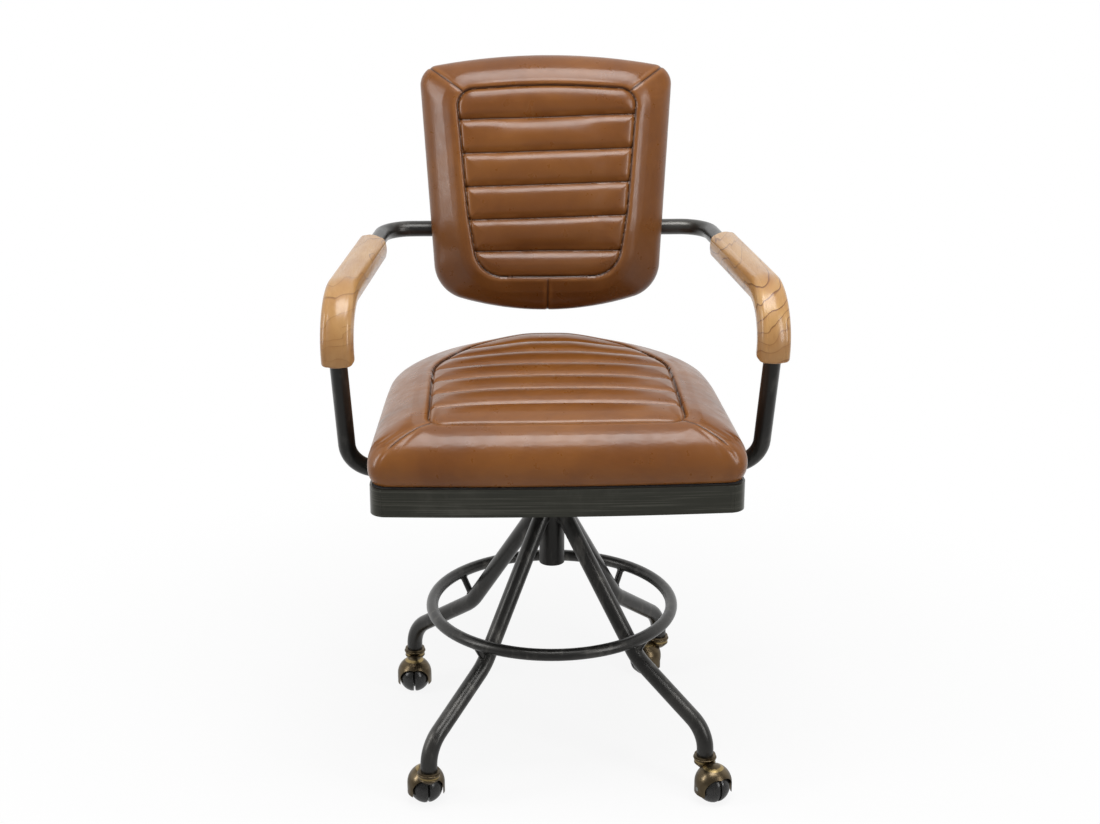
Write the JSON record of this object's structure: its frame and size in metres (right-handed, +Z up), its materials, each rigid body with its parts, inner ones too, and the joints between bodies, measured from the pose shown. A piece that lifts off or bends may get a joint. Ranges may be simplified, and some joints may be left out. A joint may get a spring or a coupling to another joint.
{
  "type": "office chair",
  "caption": "Low-backed office chair: channelled leather seat and back, bent tube arms with wooden rests, screw lift, and a splayed tubular base with a foot ring on ball casters.",
  "frame": {"origin": "where the swivel axis meets the floor", "axes": "+Z up along the swivel axis, the sitter faces -Y, the seat and back are symmetric about X = 0"},
  "size_m": [0.5778, 0.4961, 0.9154],
  "materials": {
    "tube_metal": "hand-rubbed dark grey patina, satin",
    "hoop_metal": "dark patina brushed lengthways, satin",
    "bracket_metal": "dark grey satin",
    "bright_steel": "plain turned steel",
    "bearing_metal": "plain turned bronze",
    "aged_brass": "antique brass, dark in the hollows and rubbed on the edges",
    "wheel_tread": "near-black, satin",
    "arm_wood": "clear gloss lacquer",
    "plywood": "plain, unfinished",
    "leather": "waxed cognac brown, semi-gloss, worn lighter on the crowns"
  },
  "bodies": {
    "base": {"ferrule_front_left": "aged_brass", "ferrule_front_right": "aged_brass", "ferrule_rear_left": "aged_brass", "ferrule_rear_right": "aged_brass", "foot_ring": "tube_metal", "hub_bush": "bearing_metal", "hub_tube": "tube_metal", "leg_front_left": "tube_metal", "leg_front_right": "tube_metal", "leg_rear_left": "tube_metal", "leg_rear_right": "tube_metal", "ring_struts": "tube_metal", "stem_socket_front_left": "bearing_metal", "stem_socket_front_right": "bearing_metal", "stem_socket_rear_left": "bearing_metal", "stem_socket_rear_right": "bearing_metal", "thrust_washer": "bright_steel"},
    "nut": {"lift_nut": "bright_steel"},
    "seat": {"arm_tube": "tube_metal", "arm_wood_left": "arm_wood", "arm_wood_right": "arm_wood", "back_board": "plywood", "back_cushion": "leather", "back_panel": "leather", "back_saddle_left": "bracket_metal", "back_saddle_right": "bracket_metal", "board_screws": "bright_steel", "cross_bars": "bracket_metal", "plate_bolts": "bright_steel", "saddle_screws": "bright_steel", "seat_band": "hoop_metal", "seat_board": "plywood", "seat_cushion": "leather", "spindle": "bright_steel", "stop_screw": "bright_steel", "stop_washer": "bright_steel", "swivel_plate": "bracket_metal"},
    "caster_front_left": {"axle_front_left": "bright_steel", "hood_front_left": "aged_brass", "stem_front_left": "bright_steel"},
    "caster_front_right": {"axle_front_right": "bright_steel", "hood_front_right": "aged_brass", "stem_front_right": "bright_steel"},
    "caster_rear_left": {"axle_rear_left": "bright_steel", "hood_rear_left": "aged_brass", "stem_rear_left": "bright_steel"},
    "caster_rear_right": {"axle_rear_right": "bright_steel", "hood_rear_right": "aged_brass", "stem_rear_right": "bright_steel"},
    "wheel_a_front_left": {"wheel_a_front_left": "wheel_tread"},
    "wheel_a_front_right": {"wheel_a_front_right": "wheel_tread"},
    "wheel_a_rear_left": {"wheel_a_rear_left": "wheel_tread"},
    "wheel_a_rear_right": {"wheel_a_rear_right": "wheel_tread"},
    "wheel_b_front_left": {"wheel_b_front_left": "wheel_tread"},
    "wheel_b_front_right": {"wheel_b_front_right": "wheel_tread"},
    "wheel_b_rear_left": {"wheel_b_rear_left": "wheel_tread"},
    "wheel_b_rear_right": {"wheel_b_rear_right": "wheel_tread"}
  },
  "joints": [
    {"name": "seat_swivel", "type": "hinge", "parent": "base", "child": "nut", "pos_m": [0, 0, 0.376], "axis": [0, 0, 1], "continuous": true},
    {"name": "seat_lift", "type": "slide", "parent": "nut", "child": "seat", "axis": [0, 0, 1], "range_m": [0, 0.075]},
    {"name": "caster_swivel_rear_right", "type": "hinge", "parent": "base", "child": "caster_rear_right", "pos_m": [0.16633, 0.19592, 0.045], "axis": [0, 0, 1], "continuous": true},
    {"name": "wheel_spin_a_rear_right", "type": "hinge", "parent": "caster_rear_right", "child": "wheel_a_rear_right", "pos_m": [0.14628, 0.1857, 0.022], "axis": [0.454, -0.891, 0], "continuous": true},
    {"name": "wheel_spin_b_rear_right", "type": "hinge", "parent": "caster_rear_right", "child": "wheel_b_rear_right", "pos_m": [0.14628, 0.1857, 0.022], "axis": [0.454, -0.891, 0], "continuous": true},
    {"name": "caster_swivel_rear_left", "type": "hinge", "parent": "base", "child": "caster_rear_left", "pos_m": [-0.19592, 0.16633, 0.045], "axis": [0, 0, 1], "continuous": true},
    {"name": "wheel_spin_a_rear_left", "type": "hinge", "parent": "caster_rear_left", "child": "wheel_a_rear_left", "pos_m": [-0.19631, 0.14383, 0.022], "axis": [0.9998, -0.0175, 0], "continuous": true},
    {"name": "wheel_spin_b_rear_left", "type": "hinge", "parent": "caster_rear_left", "child": "wheel_b_rear_left", "pos_m": [-0.19631, 0.14383, 0.022], "axis": [0.9998, -0.0175, 0], "continuous": true},
    {"name": "caster_swivel_front_left", "type": "hinge", "parent": "base", "child": "caster_front_left", "pos_m": [-0.16633, -0.19592, 0.045], "axis": [0, 0, 1], "continuous": true},
    {"name": "wheel_spin_a_front_left", "type": "hinge", "parent": "caster_front_left", "child": "wheel_a_front_left", "pos_m": [-0.17124, -0.17396, 0.022], "axis": [-0.9759, -0.2181, 0], "continuous": true},
    {"name": "wheel_spin_b_front_left", "type": "hinge", "parent": "caster_front_left", "child": "wheel_b_front_left", "pos_m": [-0.17124, -0.17396, 0.022], "axis": [-0.9759, -0.2181, 0], "continuous": true},
    {"name": "caster_swivel_front_right", "type": "hinge", "parent": "base", "child": "caster_front_right", "pos_m": [0.19592, -0.16633, 0.045], "axis": [0, 0, 1], "continuous": true},
    {"name": "wheel_spin_a_front_right", "type": "hinge", "parent": "caster_front_right", "child": "wheel_a_front_right", "pos_m": [0.20511, -0.18687, 0.022], "axis": [0.9128, 0.4083, 0], "continuous": true},
    {"name": "wheel_spin_b_front_right", "type": "hinge", "parent": "caster_front_right", "child": "wheel_b_front_right", "pos_m": [0.20511, -0.18687, 0.022], "axis": [0.9128, 0.4083, 0], "continuous": true}
  ]
}
